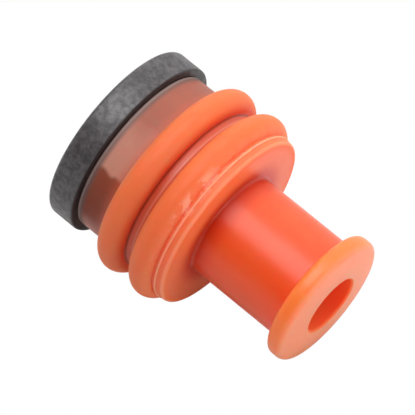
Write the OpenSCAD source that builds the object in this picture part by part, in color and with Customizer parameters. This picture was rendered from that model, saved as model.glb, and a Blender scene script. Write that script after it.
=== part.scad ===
// Single-wire seal of a sealed connector: a silicone seal moulded with two sealing ribs, a shoulder,
// a neck for the crimp wings and an end flange, carried by a hard collar bush whose sleeve it grips.
// Millimetres. The part stands on the collar's flat end and its axis is +Z.

/* [Collar bush] */
// Outer diameter of the collar
collar_d = 8.2; // [8:0.1:10]
// Thickness of the collar along the axis
collar_t = 1.3; // [0.8:0.1:3]
// Edge radius of the collar's standing end
collar_edge = 0.18; // [0.05:0.01:0.3]
// Outer diameter of the sleeve inside the seal
sleeve_d = 5.8; // [5:0.1:6.4]
// Length of the sleeve from the collar's seat
sleeve_l = 1.9; // [1.4:0.1:2.6]
// Bore of the bush, which the wire passes freely
bush_bore_d = 3.8; // [3.4:0.1:4.2]
// Chamfer at both ends of the bush's bore
bush_lead = 0.25; // [0.1:0.05:0.35]
// Height of the retaining bead round the sleeve
bead_h = 0.14; // [0.08:0.01:0.2]

/* [Sealing section] */
// Outer diameter of the tube over the sleeve
tube_d = 7.5; // [7.2:0.1:7.9]
// Outer diameter over the sealing ribs
rib_d = 9; // [8.8:0.1:10]
// Crest radius of a sealing rib
rib_r = 0.6; // [0.45:0.05:0.7]
// Number of sealing ribs
rib_count = 2; // [1:1:3]
// Distance from one rib to the next
rib_pitch = 1.7; // [1.6:0.05:2.4]
// Distance from the collar's seat to the first rib
first_rib = 2.05; // [1.8:0.05:3]
// Fillet at the foot of a rib
rib_fillet = 0.15; // [0.05:0.01:0.18]

/* [Shoulder] */
// Outer diameter of the shoulder behind the ribs
shoulder_d = 8.1; // [8:0.1:8.6]
// Distance from the last rib to the shoulder's front face
shoulder_l = 1.15; // [1.1:0.05:2]
// Edge radius of the shoulder's front face
shoulder_edge = 0.3; // [0.1:0.05:0.4]
// Height of the mould's parting line round the shoulder
flash_h = 0.05; // [0.03:0.01:0.08]

/* [Neck and flange] */
// Outer diameter of the neck that the crimp wings close on
neck_d = 4.65; // [4.2:0.05:5]
// Length of the neck from the shoulder to the flange
neck_l = 4.5; // [3:0.1:7]
// Fillet where the neck leaves the shoulder and meets the flange
neck_fillet = 0.15; // [0.05:0.01:0.25]
// Outer diameter of the end flange
flange_d = 5.9; // [5.6:0.1:7]
// Thickness of the end flange at its rim
flange_t = 0.8; // [0.6:0.05:1.4]
// Edge radius of the flange's rim
flange_edge = 0.28; // [0.1:0.01:0.29]
// Rise of the flange's face from the rim to the wire hole
face_rise = 0.12; // [0.05:0.01:0.2]

/* [Wire passage] */
// Bore of the neck, which grips the wire's insulation
wire_bore_d = 2.6; // [2:0.1:3]
// Rounding at the mouth of the wire hole
mouth_r = 0.12; // [0.05:0.01:0.2]
// Number of inner lips between the bush and the neck
lip_count = 2; // [1:1:2]
// Crest radius of an inner lip
lip_r = 0.35; // [0.2:0.05:0.4]
// Height of an inner lip above the chamber's wall
lip_h = 0.5; // [0.4:0.05:0.6]

/* [Fits] */
// Radial clearance between the sleeve and the seal
sleeve_clear = 0.03; // [0.01:0.01:0.05]
// Gap between the sleeve's end and the floor of its seat
end_gap = 0.1; // [0.05:0.01:0.2]

/* [Hidden] */
$fn = 128;
// How far a cut runs past the solid that it opens
past = 1;

// Stations along the axis, from the standing end up
seat_z = collar_t;
sleeve_z = seat_z + sleeve_l;
seat_floor_z = sleeve_z + end_gap;
rib_z = [for (i = [0 : rib_count - 1]) seat_z + first_rib + i * rib_pitch];
last_rib_z = rib_z[rib_count - 1];
shoulder_z = last_rib_z + shoulder_l;
flange_z = shoulder_z + neck_l;
flange_face_z = flange_z + flange_t;
hole_z = flange_face_z + face_rise;

// Radii
collar_r = collar_d / 2;
sleeve_r = sleeve_d / 2;
bush_bore_r = bush_bore_d / 2;
tube_r = tube_d / 2;
rib_centre_r = rib_d / 2 - rib_r;
shoulder_r = shoulder_d / 2;
neck_r = neck_d / 2;
flange_r = flange_d / 2;
wire_r = wire_bore_d / 2;

// Where the retaining bead begins and ends on the sleeve
bead_from = seat_z + 0.55 * sleeve_l;
bead_to = seat_z + 0.85 * sleeve_l;

// Inner chamber, from the seat's floor to where the neck's bore begins
chamber_end_z = shoulder_z - neck_fillet;
chamber_r = wire_r + lip_h;
lip_step = (chamber_end_z - seat_floor_z) / (lip_count + 1);

// Parting line: it lies where the last rib's foot meets the shoulder
flash_z = last_rib_z + rib_r + rib_fillet;
flash_w = 2 * flash_h;

// Rectangle from [r0, z0] to [r1, z1] in a half section, r across and z up
module band(r0, r1, z0, z1) {
    translate([r0, z0]) square([r1 - r0, z1 - z0]);
}

// Concave fillet in the corner at [r, z] that opens outward, and up or down by side
module fillet(r, z, size, side) {
    translate([r, z]) difference() {
        translate([0, side > 0 ? 0 : -size]) square(size);
        translate([size, side * size]) circle(size);
    }
}

// Rectangle whose outer corners are rounded, low for the lower one and high for the upper one
module rounded_band(r1, z0, z1, low, high) {
    difference() {
        band(0, r1, z0, z1);
        if (low > 0) translate([r1, z0]) mirror([1, 0]) fillet(0, 0, low, 1);
        if (high > 0) translate([r1, z1]) mirror([1, 0]) fillet(0, 0, high, -1);
    }
}

// Half section of one sealing rib: a round crest on straight cheeks, filleted into the tube
module rib_section(z) {
    translate([rib_centre_r, z]) circle(rib_r);
    band(0, rib_centre_r, z - rib_r, z + rib_r);
    fillet(tube_r, z - rib_r, rib_fillet, -1);
    fillet(tube_r, z + rib_r, rib_fillet, 1);
}

// Half section of the shoulder, with the thin parting line round it
module shoulder_section() {
    rounded_band(shoulder_r, last_rib_z, shoulder_z, 0, shoulder_edge);
    polygon([
        [0, flash_z - flash_w],
        [shoulder_r, flash_z - flash_w],
        [shoulder_r + flash_h, flash_z],
        [shoulder_r, flash_z + flash_w],
        [0, flash_z + flash_w]
    ]);
}

// Half section of the end flange, whose face rises a little to the wire hole
module flange_section() {
    rounded_band(flange_r, flange_z, flange_face_z, flange_edge, flange_edge);
    polygon([
        [0, flange_z + flange_edge],
        [flange_r - flange_edge, flange_face_z],
        [wire_r + mouth_r, hole_z],
        [0, hole_z]
    ]);
}

// Solid half section of the seal, before its bore is taken out
module seal_section() {
    band(0, tube_r, seat_z, last_rib_z);
    for (z = rib_z) rib_section(z);
    shoulder_section();
    fillet(neck_r, shoulder_z, neck_fillet, 1);
    band(0, neck_r, last_rib_z, flange_face_z);
    fillet(neck_r, flange_z, neck_fillet, -1);
    flange_section();
}

// The passage through the seal: the sleeve's seat, the chamber with its lips, the neck's bore
module passage_section() {
    band(0, sleeve_r + sleeve_clear, seat_z - past, seat_floor_z);
    bead_section(sleeve_clear);
    difference() {
        band(0, chamber_r, seat_floor_z - end_gap, chamber_end_z);
        for (i = [1 : lip_count])
            translate([wire_r + lip_r, seat_floor_z + i * lip_step]) lip_section();
    }
    band(0, wire_r, seat_z, hole_z + past);
    translate([wire_r, hole_z]) mouth_section();
}

// An inner lip: a round crest that runs straight back into the chamber's wall
module lip_section() {
    circle(lip_r);
    translate([0, -lip_r]) square([lip_h, 2 * lip_r]);
}

// What the rounding at the wire hole's mouth takes away
module mouth_section() {
    difference() {
        translate([-mouth_r, -mouth_r]) square([2 * mouth_r, 2 * mouth_r]);
        translate([mouth_r, -mouth_r]) circle(mouth_r);
    }
}

// The retaining bead, grown by a clearance where the seal makes room for it: a flat catch below
// and a slope above, so that the sleeve goes in easily and holds
module bead_section(grow) {
    polygon([
        [0, bead_from - grow],
        [sleeve_r + bead_h + grow, bead_from - grow],
        [sleeve_r + grow, bead_to + grow],
        [0, bead_to + grow]
    ]);
}

// The bush's bore, chamfered at both ends so that nothing cuts the wire
module bush_bore_section() {
    polygon([
        [0, -past],
        [bush_bore_r + bush_lead + past, -past],
        [bush_bore_r, bush_lead],
        [bush_bore_r, sleeve_z - bush_lead],
        [bush_bore_r + bush_lead + past, sleeve_z + past],
        [0, sleeve_z + past]
    ]);
}

module seal() {
    color([0.94, 0.40, 0.18]) rotate_extrude() difference() {
        seal_section();
        passage_section();
    }
}

module collar_bush() {
    color([0.22, 0.21, 0.22]) rotate_extrude() difference() {
        union() {
            rounded_band(collar_r, 0, seat_z, collar_edge, collar_edge / 2);
            band(0, sleeve_r, 0, sleeve_z);
            bead_section(0);
        }
        bush_bore_section();
    }
}

seal();
collar_bush();
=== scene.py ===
import math

import bpy
from mathutils import Matrix, Vector


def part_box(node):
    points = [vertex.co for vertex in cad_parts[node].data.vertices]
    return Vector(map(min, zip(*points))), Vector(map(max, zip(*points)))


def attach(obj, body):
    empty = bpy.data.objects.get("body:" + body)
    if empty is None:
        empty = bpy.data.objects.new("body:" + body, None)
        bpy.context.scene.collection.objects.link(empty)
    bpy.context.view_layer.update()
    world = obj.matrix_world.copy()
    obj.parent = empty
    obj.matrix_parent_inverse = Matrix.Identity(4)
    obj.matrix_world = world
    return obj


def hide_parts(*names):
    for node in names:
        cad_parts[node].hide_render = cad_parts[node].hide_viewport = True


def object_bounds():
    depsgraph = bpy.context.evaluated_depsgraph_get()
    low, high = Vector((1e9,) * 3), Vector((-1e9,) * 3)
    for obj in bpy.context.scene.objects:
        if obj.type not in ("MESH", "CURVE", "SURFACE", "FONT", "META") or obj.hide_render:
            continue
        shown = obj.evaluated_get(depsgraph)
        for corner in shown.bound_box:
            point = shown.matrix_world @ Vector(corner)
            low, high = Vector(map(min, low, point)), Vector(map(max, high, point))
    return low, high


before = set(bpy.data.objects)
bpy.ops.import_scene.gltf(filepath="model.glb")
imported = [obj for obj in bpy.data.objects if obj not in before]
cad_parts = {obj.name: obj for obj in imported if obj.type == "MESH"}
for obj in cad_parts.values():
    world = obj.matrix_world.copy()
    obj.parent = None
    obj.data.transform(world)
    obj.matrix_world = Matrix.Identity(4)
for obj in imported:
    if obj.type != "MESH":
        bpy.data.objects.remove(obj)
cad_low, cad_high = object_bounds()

# --- The wire seal ---
# One piece of translucent orange silicone rubber, pressed in a mould that closes at the shoulder. Its tube
# grips the sleeve of the collar bush, two round ribs seal against the cavity, the crimp wings of a terminal
# close on the neck, and the end flange keeps them from slipping off.
MM = 0.001
TURN_STEPS = 256
WELD = 0.001 * MM
SMOOTH_BELOW = math.radians(40)

# Radii of the seal, and its stations along the axis measured up from its seat on the collar
tube_r = 3.75 * MM
rib_r = 4.5 * MM
rib_crest = 0.6 * MM
rib_rises = (2.05 * MM, 3.75 * MM)
rib_foot = 0.15 * MM
last_rib_turn = 166
shoulder_r = 4.05 * MM
shoulder_rise = 4.9 * MM
shoulder_round = 0.16 * MM
flash = 0.05 * MM
flash_crest_half = 0.4 * flash
flash_foot_low = 1.6 * flash
flash_foot_high = 1.2 * flash
neck_r = 2.325 * MM
neck_foot = 0.15 * MM
flange_r = 2.95 * MM
flange_rise = 9.4 * MM
flange_thick = 0.8 * MM
flange_round = 0.28 * MM
face_lift = 0.12 * MM
wire_r = 1.3 * MM
mouth_round = 0.12 * MM
chamber_r = 1.8 * MM
lip_crest = 0.35 * MM
lip_rises = (2.917 * MM, 3.833 * MM)
seat_r = 2.93 * MM
seat_deep = 2.0 * MM
end_round = 0.07 * MM

# How many straight steps draw each kind of arc
crest_steps = 28
round_steps = 10
mouth_steps = 8
foot_steps = 6
end_steps = 5
lip_steps = 12

seat_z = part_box("seal")[0].z


def start_section(radius, height):
    """Puts one vertex at the place where a half section begins, and leaves it selected in edit mode."""
    bpy.ops.object.select_all(action="DESELECT")
    bpy.ops.mesh.primitive_plane_add(size=MM)
    bpy.ops.object.mode_set(mode="EDIT")
    bpy.ops.mesh.select_mode(type="VERT")
    bpy.ops.mesh.merge(type="CENTER")
    bpy.ops.transform.translate(value=(radius, 0, height))
    return Vector((radius, 0, height))


def line_to(here, radius, height):
    """Draws a straight stretch of the section from here to a radius and a height."""
    there = Vector((radius, 0, height))
    bpy.ops.mesh.extrude_region_move(TRANSFORM_OT_translate={"value": there - here})
    return there


def arc_about(here, radius, height, degrees, steps):
    """Turns the section's end round a centre; a positive angle turns from the axis outwards to up."""
    centre = Vector((radius, 0, height))
    angle = math.radians(degrees)
    bpy.ops.mesh.spin(steps=steps, angle=angle, center=centre, axis=(0, 1, 0))
    return centre + Matrix.Rotation(angle, 3, (0, -1, 0)) @ (here - centre)


def turn_section(name):
    """Closes the section, turns it once round the axis and welds it into one closed skin."""
    bpy.ops.mesh.select_all(action="SELECT")
    bpy.ops.mesh.remove_doubles(threshold=WELD)
    bpy.ops.mesh.spin(steps=TURN_STEPS, angle=2 * math.pi, center=(0, 0, 0), axis=(0, 0, 1))
    bpy.ops.mesh.select_all(action="SELECT")
    bpy.ops.mesh.remove_doubles(threshold=WELD)
    bpy.ops.mesh.normals_make_consistent(inside=False)
    bpy.ops.object.mode_set(mode="OBJECT")
    bpy.ops.object.transform_apply(location=True, rotation=True, scale=True)
    bpy.ops.object.shade_smooth_by_angle(angle=SMOOTH_BELOW)
    piece = bpy.context.object
    piece.name = name
    return piece


# The outside, from the tube's end up
pen = start_section(seat_r, seat_z)
pen = line_to(pen, tube_r - end_round, seat_z)
pen = arc_about(pen, tube_r - end_round, seat_z + end_round, 90, end_steps)
for rise in rib_rises:
    rib_z = seat_z + rise
    last_rib = rise == rib_rises[-1]
    pen = line_to(pen, tube_r, rib_z - rib_crest - rib_foot)
    pen = arc_about(pen, tube_r + rib_foot, rib_z - rib_crest - rib_foot, -90, foot_steps)
    pen = arc_about(pen, rib_r - rib_crest, rib_z, last_rib_turn if last_rib else 180, crest_steps)
    if not last_rib:
        pen = line_to(pen, tube_r + rib_foot, rib_z + rib_crest)
        pen = arc_about(pen, tube_r + rib_foot, rib_z + rib_crest + rib_foot, -90, foot_steps)
shoulder_z = seat_z + shoulder_rise
flash_z = rib_z + rib_crest + rib_foot
pen = line_to(pen, shoulder_r, flash_z - flash_foot_low)
pen = line_to(pen, shoulder_r + flash, flash_z - flash_crest_half)
pen = line_to(pen, shoulder_r + flash, flash_z + flash_crest_half)
pen = line_to(pen, shoulder_r, flash_z + flash_foot_high)
pen = line_to(pen, shoulder_r, shoulder_z - shoulder_round)
pen = arc_about(pen, shoulder_r - shoulder_round, shoulder_z - shoulder_round, 90, round_steps)
pen = line_to(pen, neck_r + neck_foot, shoulder_z)
pen = arc_about(pen, neck_r + neck_foot, shoulder_z + neck_foot, -90, foot_steps)
flange_z = seat_z + flange_rise
pen = line_to(pen, neck_r, flange_z - neck_foot)
pen = arc_about(pen, neck_r + neck_foot, flange_z - neck_foot, -90, foot_steps)
pen = line_to(pen, flange_r - flange_round, flange_z)
pen = arc_about(pen, flange_r - flange_round, flange_z + flange_round, 90, round_steps)
face_z = flange_z + flange_thick
pen = line_to(pen, flange_r, face_z - flange_round)
pen = arc_about(pen, flange_r - flange_round, face_z - flange_round, 90, round_steps)
hole_z = face_z + face_lift
pen = line_to(pen, wire_r + mouth_round, hole_z)
pen = arc_about(pen, wire_r + mouth_round, hole_z - mouth_round, 90, mouth_steps)

# The passage for the wire, from the mouth of the hole down to the sleeve's seat
pen = line_to(pen, wire_r, shoulder_z - neck_foot)
pen = line_to(pen, chamber_r, shoulder_z - neck_foot)
for rise in reversed(lip_rises):
    pen = line_to(pen, chamber_r, seat_z + rise + lip_crest)
    pen = line_to(pen, wire_r + lip_crest, seat_z + rise + lip_crest)
    pen = arc_about(pen, wire_r + lip_crest, seat_z + rise, 180, lip_steps)
    pen = line_to(pen, chamber_r, seat_z + rise - lip_crest)
pen = line_to(pen, chamber_r, seat_z + seat_deep)
pen = line_to(pen, seat_r, seat_z + seat_deep)
pen = line_to(pen, seat_r, seat_z)
seal = turn_section("wire_seal")
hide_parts("seal")
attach(seal, "root")


def linear(hex_colour):
    """Turns an sRGB hex colour into the linear values that a shader takes."""
    parts = [int(hex_colour[i : i + 2], 16) / 255 for i in (1, 3, 5)]
    return [c / 12.92 if c <= 0.04045 else ((c + 0.055) / 1.055) ** 2.4 for c in parts] + [1]


def add_node(tree, kind, settings=None, inputs=None):
    """Adds a node, sets its properties, and fills each input with a value or a link from a socket."""
    node = tree.nodes.new(kind)
    for key, value in (settings or {}).items():
        setattr(node, key, value)
    for key, value in (inputs or {}).items():
        if isinstance(value, bpy.types.NodeSocket):
            tree.links.new(value, node.inputs[key])
        else:
            node.inputs[key].default_value = value
    return node


# Silicone rubber, moulded and unpainted: light soaks in and comes back warm. Its colour is painted by zone
# to
# stand in for that light: a painted glow makes the crests and rims milky and bright, painted shade makes the
# thin-walled neck and the groove deeper and redder, the wall of the wire hole gets a deep red-orange painted
# glow, and the end face a pinkish painted reflection. The skin has a satin shine.
scuff_size = 0.45 * MM
highlight_wander = 1.2 * MM
ripple_size = 0.9 * MM
ripple_depth = 0.04 * MM
light_reach = 2.4 * MM
groove_z = seat_z + sum(rib_rises) / 2

silicone = bpy.data.materials.new("moulded_silicone")
silicone.use_nodes = True
tree = silicone.node_tree
skin = tree.nodes["Principled BSDF"]
place = add_node(tree, "ShaderNodeTexCoord")
axes = add_node(tree, "ShaderNodeSeparateXYZ", inputs={"Vector": place.outputs["Object"]})
# Both directions across the axis are negated, so that the angle round it, used further on, jumps at the back
flat = add_node(
    tree,
    "ShaderNodeVectorMath",
    {"operation": "MULTIPLY"},
    {0: place.outputs["Object"], 1: (-1, -1, 0)},
)
radius = add_node(tree, "ShaderNodeVectorMath", {"operation": "LENGTH"}, {0: flat.outputs[0]})

# How far the skin stands out from the groove's floor to a rib's crest, and from the neck to the shoulder's
# edge, with the end face, the rest of the flange and the wall of the wire hole told apart
rib_height = add_node(
    tree,
    "ShaderNodeMapRange",
    {"interpolation_type": "SMOOTHSTEP"},
    {0: radius.outputs["Value"], 1: tube_r, 2: rib_r - 0.25 * MM, 3: 0.0, 4: 1.0},
)
neck_height = add_node(
    tree,
    "ShaderNodeMapRange",
    {"interpolation_type": "SMOOTHSTEP"},
    {0: radius.outputs["Value"], 1: neck_r + 0.05 * MM, 2: neck_r + 0.9 * MM, 3: 0.0, 4: 1.0},
)
end_face = add_node(
    tree,
    "ShaderNodeMapRange",
    {"interpolation_type": "SMOOTHSTEP"},
    {0: axes.outputs["Z"], 1: face_z - 0.3 * MM, 2: face_z, 3: 0.0, 4: 1.0},
)
off_hole = add_node(
    tree,
    "ShaderNodeMapRange",
    {"interpolation_type": "SMOOTHSTEP"},
    {0: radius.outputs["Value"], 1: wire_r + 0.02 * MM, 2: wire_r + mouth_round, 3: 0.0, 4: 1.0},
)
face_only = add_node(
    tree,
    "ShaderNodeMath",
    {"operation": "MULTIPLY"},
    {0: end_face.outputs[0], 1: off_hole.outputs[0]},
)
flange_height = add_node(
    tree,
    "ShaderNodeMapRange",
    {"interpolation_type": "SMOOTHSTEP"},
    {0: axes.outputs["Z"], 1: flange_z - 0.1 * MM, 2: flange_z + 0.15 * MM, 3: 0.0, 4: 1.0},
)
flange_only = add_node(
    tree,
    "ShaderNodeMath",
    {"operation": "MULTIPLY"},
    {0: flange_height.outputs[0], 1: off_hole.outputs[0]},
)
neck_or_face = add_node(
    tree,
    "ShaderNodeMath",
    {"operation": "MAXIMUM"},
    {0: neck_height.outputs[0], 1: flange_only.outputs[0]},
)
past_flash = add_node(
    tree,
    "ShaderNodeMapRange",
    {"interpolation_type": "SMOOTHSTEP"},
    {0: axes.outputs["Z"], 1: rib_z + 0.2 * MM, 2: flash_z, 3: 0.0, 4: 1.0},
)

# The ribs, the neck from its root upwards, the shoulder and the flange, each in its own orange, which is
# painted light and shade on one rubber
# Painted shade: the groove's floor is a darker red than the rib crests, which carry a painted glow
rib_painted_shade_and_glow = add_node(
    tree,
    "ShaderNodeMix",
    {"data_type": "RGBA"},
    {0: rib_height.outputs[0], 6: linear("#e06040"), 7: linear("#e6723e")},
)
# Painted shade: the neck is redder than the ribs, and darkest at its root, in the shoulder's painted shadow
off_root = add_node(
    tree,
    "ShaderNodeMapRange",
    {"interpolation_type": "SMOOTHSTEP"},
    {0: axes.outputs["Z"], 1: shoulder_z - 0.1 * MM, 2: shoulder_z + 1.1 * MM, 3: 0.0, 4: 1.0},
)
neck_painted_shade = add_node(
    tree,
    "ShaderNodeMix",
    {"data_type": "RGBA"},
    {0: off_root.outputs[0], 6: linear("#d63410"), 7: linear("#f45c2a")},
)
# Painted glow: the wall of the wire hole is a saturated red-orange, as lit by light coming through the
# rubber
hole_glow_and_neck_shade = add_node(
    tree,
    "ShaderNodeMix",
    {"data_type": "RGBA"},
    {0: off_hole.outputs[0], 6: linear("#ff6a34"), 7: neck_painted_shade.outputs[2]},
)
on_flange = add_node(
    tree,
    "ShaderNodeMapRange",
    {"interpolation_type": "SMOOTHSTEP"},
    {0: axes.outputs["Z"], 1: shoulder_z + 1.0 * MM, 2: flange_z, 3: 0.0, 4: 1.0},
)
# Painted glow on the flange's rim, brighter than the shoulder, and a pinkish painted reflection on its end
# face
flange_painted_glow_and_reflection = add_node(
    tree,
    "ShaderNodeMix",
    {"data_type": "RGBA"},
    {0: face_only.outputs[0], 6: linear("#ff8440"), 7: linear("#fc9068")},
)
rim = add_node(
    tree,
    "ShaderNodeMix",
    {"data_type": "RGBA"},
    {0: on_flange.outputs[0], 6: linear("#ee7646"), 7: flange_painted_glow_and_reflection.outputs[2]},
)
neck_and_rim_painted_light = add_node(
    tree,
    "ShaderNodeMix",
    {"data_type": "RGBA"},
    {0: neck_or_face.outputs[0], 6: hole_glow_and_neck_shade.outputs[2], 7: rim.outputs[2]},
)
orange = add_node(
    tree,
    "ShaderNodeMix",
    {"data_type": "RGBA"},
    {0: past_flash.outputs[0], 6: rib_painted_shade_and_glow.outputs[2], 7: neck_and_rim_painted_light.outputs[2]},
)

# The parting line is painted paler, a painted glow of light through its thin skin, and next to it the seal
# was scuffed when it left the mould, most at the front and at the back
on_flash = add_node(
    tree,
    "ShaderNodeMapRange",
    {"interpolation_type": "SMOOTHSTEP"},
    {0: radius.outputs["Value"], 1: shoulder_r + 0.1 * flash, 2: shoulder_r + 0.8 * flash, 3: 0.0, 4: 0.75},
)
off_ribs = add_node(
    tree,
    "ShaderNodeMapRange",
    {"interpolation_type": "SMOOTHSTEP"},
    {0: axes.outputs["Z"], 1: flash_z - 2.4 * flash, 2: flash_z - 1.2 * flash, 3: 0.0, 4: 1.0},
)
flash_only = add_node(
    tree,
    "ShaderNodeMath",
    {"operation": "MULTIPLY"},
    {0: on_flash.outputs[0], 1: off_ribs.outputs[0]},
)
scuffs = add_node(
    tree,
    "ShaderNodeTexNoise",
    inputs={"Vector": place.outputs["Object"], "Scale": 1 / scuff_size, "Detail": 3.0, "Roughness": 0.6},
)
scuffed = add_node(
    tree,
    "ShaderNodeMapRange",
    {"interpolation_type": "SMOOTHSTEP"},
    {0: scuffs.outputs[0], 1: 0.44, 2: 0.56, 3: 0.0, 4: 0.9},
)
from_flash = add_node(
    tree,
    "ShaderNodeMath",
    {"operation": "SUBTRACT"},
    {0: axes.outputs["Z"], 1: flash_z - 3.0 * flash},
)
off_flash = add_node(tree, "ShaderNodeMath", {"operation": "ABSOLUTE"}, {0: from_flash.outputs[0]})
by_flash = add_node(
    tree,
    "ShaderNodeMapRange",
    {"interpolation_type": "SMOOTHSTEP"},
    {0: off_flash.outputs[0], 1: 0.1 * MM, 2: 0.35 * MM, 3: 1.0, 4: 0.0},
)
sideways = add_node(tree, "ShaderNodeMath", {"operation": "ABSOLUTE"}, {0: axes.outputs["X"]})
front_and_back = add_node(
    tree,
    "ShaderNodeMapRange",
    {"interpolation_type": "SMOOTHSTEP"},
    {0: sideways.outputs[0], 1: 0.6 * MM, 2: 1.8 * MM, 3: 1.0, 4: 0.1},
)
local = add_node(
    tree,
    "ShaderNodeMath",
    {"operation": "MULTIPLY"},
    {0: by_flash.outputs[0], 1: front_and_back.outputs[0]},
)
scuffs_by_flash = add_node(
    tree,
    "ShaderNodeMath",
    {"operation": "MULTIPLY"},
    {0: scuffed.outputs[0], 1: local.outputs[0]},
)

# The shoulder's front edge carries a fine painted highlight as well
from_edge = add_node(
    tree,
    "ShaderNodeMath",
    {"operation": "SUBTRACT"},
    {0: axes.outputs["Z"], 1: shoulder_z - 0.5 * shoulder_round},
)
off_edge = add_node(tree, "ShaderNodeMath", {"operation": "ABSOLUTE"}, {0: from_edge.outputs[0]})
painted_edge_highlight = add_node(
    tree,
    "ShaderNodeMapRange",
    {"interpolation_type": "SMOOTHSTEP"},
    {0: off_edge.outputs[0], 1: 0.02 * MM, 2: 0.09 * MM, 3: 0.4, 4: 0.0},
)
on_rim = add_node(
    tree,
    "ShaderNodeMapRange",
    {"interpolation_type": "SMOOTHSTEP"},
    {
        0: radius.outputs["Value"],
        1: shoulder_r - 1.2 * shoulder_round,
        2: shoulder_r - 0.6 * shoulder_round,
        3: 0.0,
        4: 1.0,
    },
)
painted_edge_highlight_only = add_node(
    tree,
    "ShaderNodeMath",
    {"operation": "MULTIPLY"},
    {0: painted_edge_highlight.outputs[0], 1: on_rim.outputs[0]},
)
lines = add_node(
    tree,
    "ShaderNodeMath",
    {"operation": "MAXIMUM"},
    {0: flash_only.outputs[0], 1: painted_edge_highlight_only.outputs[0]},
)
pale = add_node(
    tree,
    "ShaderNodeMath",
    {"operation": "MAXIMUM"},
    {0: lines.outputs[0], 1: scuffs_by_flash.outputs[0]},
)
scuffed_and_painted_lines = add_node(
    tree,
    "ShaderNodeMix",
    {"data_type": "RGBA"},
    {0: pale.outputs[0], 6: orange.outputs[2], 7: linear("#f9a284")},
)

# Over the black sleeve the stretched tube looks dark brown. Pale pinkish patches on it are a painted
# highlight, a soft box's reflection; round the axis each such patch begins sharply and fades out.
off_sleeve = add_node(
    tree,
    "ShaderNodeMapRange",
    {"interpolation_type": "SMOOTHSTEP"},
    {0: axes.outputs["Z"], 1: seat_z + 0.9 * MM, 2: seat_z + 1.8 * MM, 3: 0.0, 4: 1.0},
)
across = add_node(tree, "ShaderNodeSeparateXYZ", inputs={"Vector": flat.outputs[0]})
turn = add_node(
    tree,
    "ShaderNodeMath",
    {"operation": "ARCTAN2"},
    {0: across.outputs["X"], 1: across.outputs["Y"]},
)
wander = add_node(
    tree,
    "ShaderNodeTexNoise",
    inputs={"Vector": place.outputs["Object"], "Scale": 1 / highlight_wander, "Detail": 2.0},
)
uneven = add_node(
    tree,
    "ShaderNodeMath",
    {"operation": "MULTIPLY_ADD"},
    {0: wander.outputs[0], 1: 0.3, 2: turn.outputs[0]},
)
share = add_node(
    tree,
    "ShaderNodeMapRange",
    inputs={0: uneven.outputs[0], 1: -math.pi, 2: math.pi, 3: 0.0, 4: 1.0},
)
painted_highlight_patches = add_node(tree, "ShaderNodeValToRGB", inputs={0: share.outputs[0]})
highlight_stops = [
    (0.0, 0.7), (0.12, 0.0), (0.22, 0.1), (0.29, 0.5), (0.36, 0.0), (0.45, 0.2), (0.46, 1.0),
    (0.51, 0.9), (0.57, 0.4), (0.63, 0.4), (0.72, 0.25), (0.9, 0.0), (0.91, 0.7),
]
ramp = painted_highlight_patches.color_ramp
ramp.elements.remove(ramp.elements[1])
for stop, shade in highlight_stops:
    element = ramp.elements[0] if stop == 0.0 else ramp.elements.new(stop)
    element.color = (shade, shade, shade, 1)
brown_and_painted_highlight = add_node(
    tree,
    "ShaderNodeMix",
    {"data_type": "RGBA"},
    {0: painted_highlight_patches.outputs[0], 6: linear("#863210"), 7: linear("#d89482")},
)

# At the very end of the tube the colour turns greyer, and its edge against the collar carries a painted
# highlight, a lighter line
tube_end = add_node(
    tree,
    "ShaderNodeMapRange",
    {"interpolation_type": "SMOOTHSTEP"},
    {0: axes.outputs["Z"], 1: seat_z + 0.1 * MM, 2: seat_z + 0.4 * MM, 3: 0.0, 4: 1.0},
)
tube_edge = add_node(
    tree,
    "ShaderNodeMapRange",
    {"interpolation_type": "SMOOTHSTEP"},
    {0: axes.outputs["Z"], 1: seat_z + 0.08 * MM, 2: seat_z + 0.2 * MM, 3: 0.0, 4: 1.0},
)
grey_and_painted_edge_highlight = add_node(
    tree,
    "ShaderNodeMix",
    {"data_type": "RGBA"},
    {0: tube_edge.outputs[0], 6: linear("#b0928c"), 7: linear("#75605c")},
)
brown = add_node(
    tree,
    "ShaderNodeMix",
    {"data_type": "RGBA"},
    {0: tube_end.outputs[0], 6: grey_and_painted_edge_highlight.outputs[2], 7: brown_and_painted_highlight.outputs[2]},
)
along = add_node(
    tree,
    "ShaderNodeMix",
    {"data_type": "RGBA"},
    {0: off_sleeve.outputs[0], 6: brown.outputs[2], 7: scuffed_and_painted_lines.outputs[2]},
)

# The fillets at the feet of the ribs get painted shade, a fine dark line where they turn in. On the groove's
# floor a thin pale line is a painted highlight.
from_foot = add_node(
    tree,
    "ShaderNodeMath",
    {"operation": "SUBTRACT"},
    {0: radius.outputs["Value"], 1: tube_r + 0.4 * rib_foot},
)
off_foot = add_node(tree, "ShaderNodeMath", {"operation": "ABSOLUTE"}, {0: from_foot.outputs[0]})
painted_foot_shade = add_node(
    tree,
    "ShaderNodeMapRange",
    {"interpolation_type": "SMOOTHSTEP"},
    {0: off_foot.outputs[0], 1: 0.0, 2: 0.4 * rib_foot, 3: 0.6, 4: 0.0},
)
before_flash = add_node(
    tree,
    "ShaderNodeMath",
    {"operation": "SUBTRACT"},
    {0: 1.0, 1: past_flash.outputs[0]},
)
foot_only = add_node(
    tree,
    "ShaderNodeMath",
    {"operation": "MULTIPLY"},
    {0: painted_foot_shade.outputs[0], 1: before_flash.outputs[0]},
)
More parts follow.
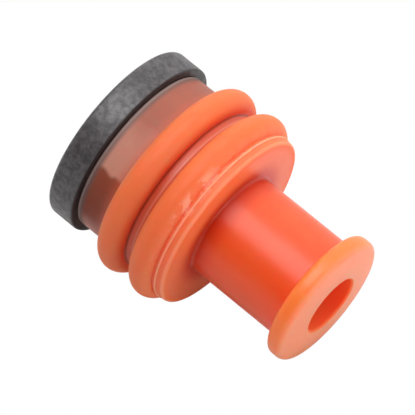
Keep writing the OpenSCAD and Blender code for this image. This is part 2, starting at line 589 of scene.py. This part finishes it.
# Painted highlight: a thin pale line along the middle of the groove's floor
from_line = add_node(
    tree,
    "ShaderNodeMath",
    {"operation": "SUBTRACT"},
    {0: axes.outputs["Z"], 1: groove_z + 0.05 * MM},
)
off_line = add_node(tree, "ShaderNodeMath", {"operation": "ABSOLUTE"}, {0: from_line.outputs[0]})
painted_groove_highlight = add_node(
    tree,
    "ShaderNodeMapRange",
    {"interpolation_type": "SMOOTHSTEP"},
    {0: off_line.outputs[0], 1: 0.01 * MM, 2: 0.06 * MM, 3: 0.35, 4: 0.0},
)
on_floor = add_node(
    tree,
    "ShaderNodeMapRange",
    {"interpolation_type": "SMOOTHSTEP"},
    {0: radius.outputs["Value"], 1: tube_r + 0.2 * rib_foot, 2: tube_r + 0.7 * rib_foot, 3: 1.0, 4: 0.0},
)
floor_only = add_node(
    tree,
    "ShaderNodeMath",
    {"operation": "MULTIPLY"},
    {0: painted_groove_highlight.outputs[0], 1: on_floor.outputs[0]},
)
with_painted_foot_shade = add_node(
    tree,
    "ShaderNodeMix",
    {"data_type": "RGBA"},
    {0: foot_only.outputs[0], 6: along.outputs[2], 7: linear("#7c2a16")},
)
base = add_node(
    tree,
    "ShaderNodeMix",
    {"data_type": "RGBA"},
    {0: floor_only.outputs[0], 6: with_painted_foot_shade.outputs[2], 7: linear("#f0a490")},
)
tree.links.new(base.outputs[2], skin.inputs["Base Color"])

# The neck and the flange are the glossiest, and the ribs are duller. The scuffs and the wire hole's wall are
# duller than the skin beside them.
polish = add_node(
    tree,
    "ShaderNodeMapRange",
    {"interpolation_type": "SMOOTHSTEP"},
    {0: radius.outputs["Value"], 1: tube_r - 0.2 * MM, 2: tube_r + 0.3 * MM, 3: 0.33, 4: 0.55},
)
worn = add_node(
    tree,
    "ShaderNodeMath",
    {"operation": "MULTIPLY_ADD"},
    {0: scuffs_by_flash.outputs[0], 1: 0.2, 2: polish.outputs[0]},
)
in_hole = add_node(
    tree,
    "ShaderNodeMapRange",
    inputs={0: off_hole.outputs[0], 1: 0.0, 2: 1.0, 3: 0.3, 4: 0.0},
)
dull = add_node(
    tree,
    "ShaderNodeMath",
    {"operation": "ADD"},
    {0: worn.outputs[0], 1: in_hole.outputs[0]},
)
tree.links.new(dull.outputs[0], skin.inputs["Roughness"])

# Silicone bends light a little less than glass does, and the stretched tube over the sleeve mirrors less
# of it than the rest
skin.inputs["IOR"].default_value = 1.41
shine = add_node(
    tree,
    "ShaderNodeMapRange",
    {"interpolation_type": "SMOOTHSTEP"},
    {0: axes.outputs["Z"], 1: seat_z + 0.9 * MM, 2: seat_z + 1.5 * MM, 3: 0.2, 4: 0.5},
)
tree.links.new(shine.outputs[0], skin.inputs["Specular IOR Level"])

# The skin is not quite even: a low ripple breaks up the highlights
ripple = add_node(
    tree,
    "ShaderNodeTexNoise",
    inputs={"Vector": place.outputs["Object"], "Scale": 1 / ripple_size, "Detail": 3.0},
)
relief = add_node(
    tree,
    "ShaderNodeBump",
    inputs={"Strength": 0.35, "Distance": ripple_depth, "Height": ripple.outputs[0]},
)
tree.links.new(relief.outputs[0], skin.inputs["Normal"])

# Red light travels farthest in the rubber. Less of it does at the tube's end, next to the black collar.
depth = add_node(
    tree,
    "ShaderNodeMapRange",
    {"interpolation_type": "SMOOTHSTEP"},
    {0: axes.outputs["Z"], 1: seat_z, 2: seat_z + 0.7 * MM, 3: 0.1, 4: 1.0},
)
tree.links.new(depth.outputs[0], skin.inputs["Subsurface Weight"])
skin.inputs["Subsurface Radius"].default_value = (1.0, 0.16, 0.08)
skin.inputs["Subsurface Scale"].default_value = light_reach
seal.data.materials.clear()
seal.data.materials.append(silicone)

# --- The collar bush ---
# A hard black ring moulded in glass-filled plastic. Its sleeve reaches up inside the seal, with a bead that
# keeps the two together, and its collar stops the seal in the cavity.
collar_r = 4.1 * MM
collar_foot_round = 0.18 * MM
collar_top_round = 0.09 * MM
sleeve_r = 2.9 * MM
sleeve_rise = 1.9 * MM
bead = 0.14 * MM
bead_from = 0.55 * sleeve_rise
bead_to = 0.85 * sleeve_rise
bush_bore_r = 1.9 * MM
bush_lead = 0.25 * MM
collar_foot_steps = 8
collar_top_steps = 6

foot_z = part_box("collar_bush")[0].z
sleeve_z = seat_z + sleeve_rise
pen = start_section(bush_bore_r + bush_lead, foot_z)
pen = line_to(pen, collar_r - collar_foot_round, foot_z)
pen = arc_about(pen, collar_r - collar_foot_round, foot_z + collar_foot_round, 90, collar_foot_steps)
pen = line_to(pen, collar_r, seat_z - collar_top_round)
pen = arc_about(pen, collar_r - collar_top_round, seat_z - collar_top_round, 90, collar_top_steps)
pen = line_to(pen, sleeve_r, seat_z)
pen = line_to(pen, sleeve_r, seat_z + bead_from)
pen = line_to(pen, sleeve_r + bead, seat_z + bead_from)
pen = line_to(pen, sleeve_r, seat_z + bead_to)
pen = line_to(pen, sleeve_r, sleeve_z)
pen = line_to(pen, bush_bore_r + bush_lead, sleeve_z)
pen = line_to(pen, bush_bore_r, sleeve_z - bush_lead)
pen = line_to(pen, bush_bore_r, foot_z + bush_lead)
pen = line_to(pen, bush_bore_r + bush_lead, foot_z)
bush = turn_section("bush_of_collar_and_sleeve")
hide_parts("collar_bush")
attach(bush, "root")

# Glass-filled nylon, moulded with an eroded finish: a dull grey-black whose grain catches the light in
# small paler flecks. The seat and the sleeve, which the seal covers, are darker.
grain_size = 0.28 * MM
grain_depth = 0.03 * MM

nylon = bpy.data.materials.new("eroded_black_nylon")
nylon.use_nodes = True
tree = nylon.node_tree
skin = tree.nodes["Principled BSDF"]
place = add_node(tree, "ShaderNodeTexCoord")
axes = add_node(tree, "ShaderNodeSeparateXYZ", inputs={"Vector": place.outputs["Object"]})
fleck = add_node(
    tree,
    "ShaderNodeTexNoise",
    inputs={"Vector": place.outputs["Object"], "Scale": 1 / grain_size, "Detail": 6.0, "Roughness": 0.7},
)
tone = add_node(
    tree,
    "ShaderNodeMapRange",
    inputs={0: fleck.outputs[0], 1: 0.4, 2: 0.62, 3: 0.0, 4: 1.0},
)
grain = add_node(
    tree,
    "ShaderNodeMix",
    {"data_type": "RGBA"},
    {0: tone.outputs[0], 6: linear("#3b3738"), 7: linear("#595456")},
)
on_seat = add_node(
    tree,
    "ShaderNodeMapRange",
    {"interpolation_type": "SMOOTHSTEP"},
    {0: axes.outputs["Z"], 1: seat_z - 0.08 * MM, 2: seat_z - 0.02 * MM, 3: 0.0, 4: 1.0},
)
base = add_node(
    tree,
    "ShaderNodeMix",
    {"data_type": "RGBA"},
    {0: on_seat.outputs[0], 6: grain.outputs[2], 7: linear("#161314")},
)
tree.links.new(base.outputs[2], skin.inputs["Base Color"])
sheen = add_node(
    tree,
    "ShaderNodeMapRange",
    inputs={0: tone.outputs[0], 1: 0.0, 2: 1.0, 3: 0.46, 4: 0.35},
)
tree.links.new(sheen.outputs[0], skin.inputs["Roughness"])
relief = add_node(
    tree,
    "ShaderNodeBump",
    inputs={"Strength": 0.35, "Distance": grain_depth, "Height": fleck.outputs[0]},
)
tree.links.new(relief.outputs[0], skin.inputs["Normal"])
bush.data.materials.clear()
bush.data.materials.append(nylon)

# --- The camera ---
# A long lens close to side on, a little above the flange, and rolled so that the seal points down to the
# right. It aims a little to the left of the middle of the seal and above it.
SENSOR_MM = 36
LENS_MM = 433.7
elevation = math.radians(16.8)
roll = math.radians(90 + 39.1)
distance = 201.3 * MM
aim_right = -0.61 * MM
aim_up = 0.42 * MM

toward = Vector((0, -math.cos(elevation), math.sin(elevation)))
level_right = Vector((1, 0, 0))
level_up = toward.cross(level_right)
cam_right = math.cos(roll) * level_right + math.sin(roll) * level_up
cam_up = -math.sin(roll) * level_right + math.cos(roll) * level_up
middle = Vector((0, 0, (cad_low.z + cad_high.z) / 2))
target = middle + aim_right * cam_right + aim_up * cam_up

camera_data = bpy.data.cameras.new("camera")
camera_data.sensor_width = SENSOR_MM
camera_data.lens = LENS_MM
camera_data.clip_start = 0.01
camera_data.clip_end = 10
camera = bpy.data.objects.new("camera", camera_data)
bpy.context.collection.objects.link(camera)
camera.matrix_world = Matrix(
    [
        [cam_right[i], cam_up[i], toward[i], (target + toward * distance)[i]]
        for i in range(3)
    ]
    + [[0, 0, 0, 1]]
)
bpy.context.scene.camera = camera


# --- The studio ---
# A white sweep round the seal, dark only towards the camera and down to its left, a big soft box overhead, a
# smaller one up in front, and a third low on the right for the end flange. Their sides run along the seal.
def soft_box(name, right, up, front, across, along, watts):
    """An area lamp in mm from the seal along the camera's axes, its size given across and along the seal."""
    data = bpy.data.lights.new(name, "AREA")
    data.shape = "RECTANGLE"
    data.size = across * MM
    data.size_y = along * MM
    data.energy = watts
    lamp = bpy.data.objects.new(name, data)
    bpy.context.collection.objects.link(lamp)
    offset = (cam_right * right + cam_up * up + toward * front) * MM
    back = offset.normalized()
    side = Vector((0, 0, 1)).cross(back).normalized()
    facing = Matrix([side, back.cross(side), back]).transposed().to_4x4()
    lamp.matrix_world = Matrix.Translation(target + offset) @ facing


soft_box("soft_box_overhead", 15, 95, 10, 110, 110, 0.018)
soft_box("soft_box_front", -20, 58, 78, 76, 50, 0.062)
soft_box("soft_box_right", 70, -40, 60, 60, 60, 0.028)

# The white table that the seal lies on, by its flange; the camera doesn't see it, and it only bounces light
table_size = 300 * MM
table_up = (toward * 0.7 + cam_up * 0.7).normalized()
tilt = math.sqrt(1 - table_up.z**2)
flange_middle = Vector((0, 0, flange_z + flange_thick / 2))
bpy.ops.object.select_all(action="DESELECT")
bpy.ops.mesh.primitive_plane_add(size=table_size)
table = bpy.context.object
table.name = "white_table"
table.rotation_mode = "QUATERNION"
table.rotation_quaternion = table_up.to_track_quat("Z", "Y")
table.location = flange_middle - table_up * (flange_r * tilt + 0.5 * flange_thick)
table.visible_camera = False
white = bpy.data.materials.new("white_laminate")
white.use_nodes = True
laminate = white.node_tree.nodes["Principled BSDF"]
laminate.inputs["Base Color"].default_value = linear("#dcdcdc")
laminate.inputs["Roughness"].default_value = 0.6
table.data.materials.append(white)

# The sweep itself: plain white for the camera, and for the light it gives a white that falls off to dark
world = bpy.data.worlds.new("white_sweep")
bpy.context.scene.world = world
world.use_nodes = True
tree = world.node_tree
tree.nodes.clear()
ray = add_node(tree, "ShaderNodeLightPath")
place = add_node(tree, "ShaderNodeTexCoord")
dark_side = (toward * 0.7 - cam_right * 0.55 - cam_up * 0.4).normalized()
to_dark = add_node(
    tree,
    "ShaderNodeVectorMath",
    {"operation": "DOT_PRODUCT"},
    {0: place.outputs["Generated"], 1: tuple(dark_side)},
)
level = add_node(
    tree,
    "ShaderNodeMapRange",
    {"interpolation_type": "SMOOTHSTEP"},
    {0: to_dark.outputs["Value"], 1: 0.1, 2: 0.8, 3: 0.95, 4: 0.02},
)
seen = add_node(
    tree,
    "ShaderNodeMath",
    {"operation": "MAXIMUM"},
    {0: ray.outputs["Is Camera Ray"], 1: level.outputs[0]},
)
glow = add_node(
    tree,
    "ShaderNodeBackground",
    inputs={"Color": (1, 1, 1, 1), "Strength": seen.outputs[0]},
)
add_node(tree, "ShaderNodeOutputWorld", inputs={"Surface": glow.outputs[0]})

scene = bpy.context.scene
scene.view_settings.view_transform = "Standard"
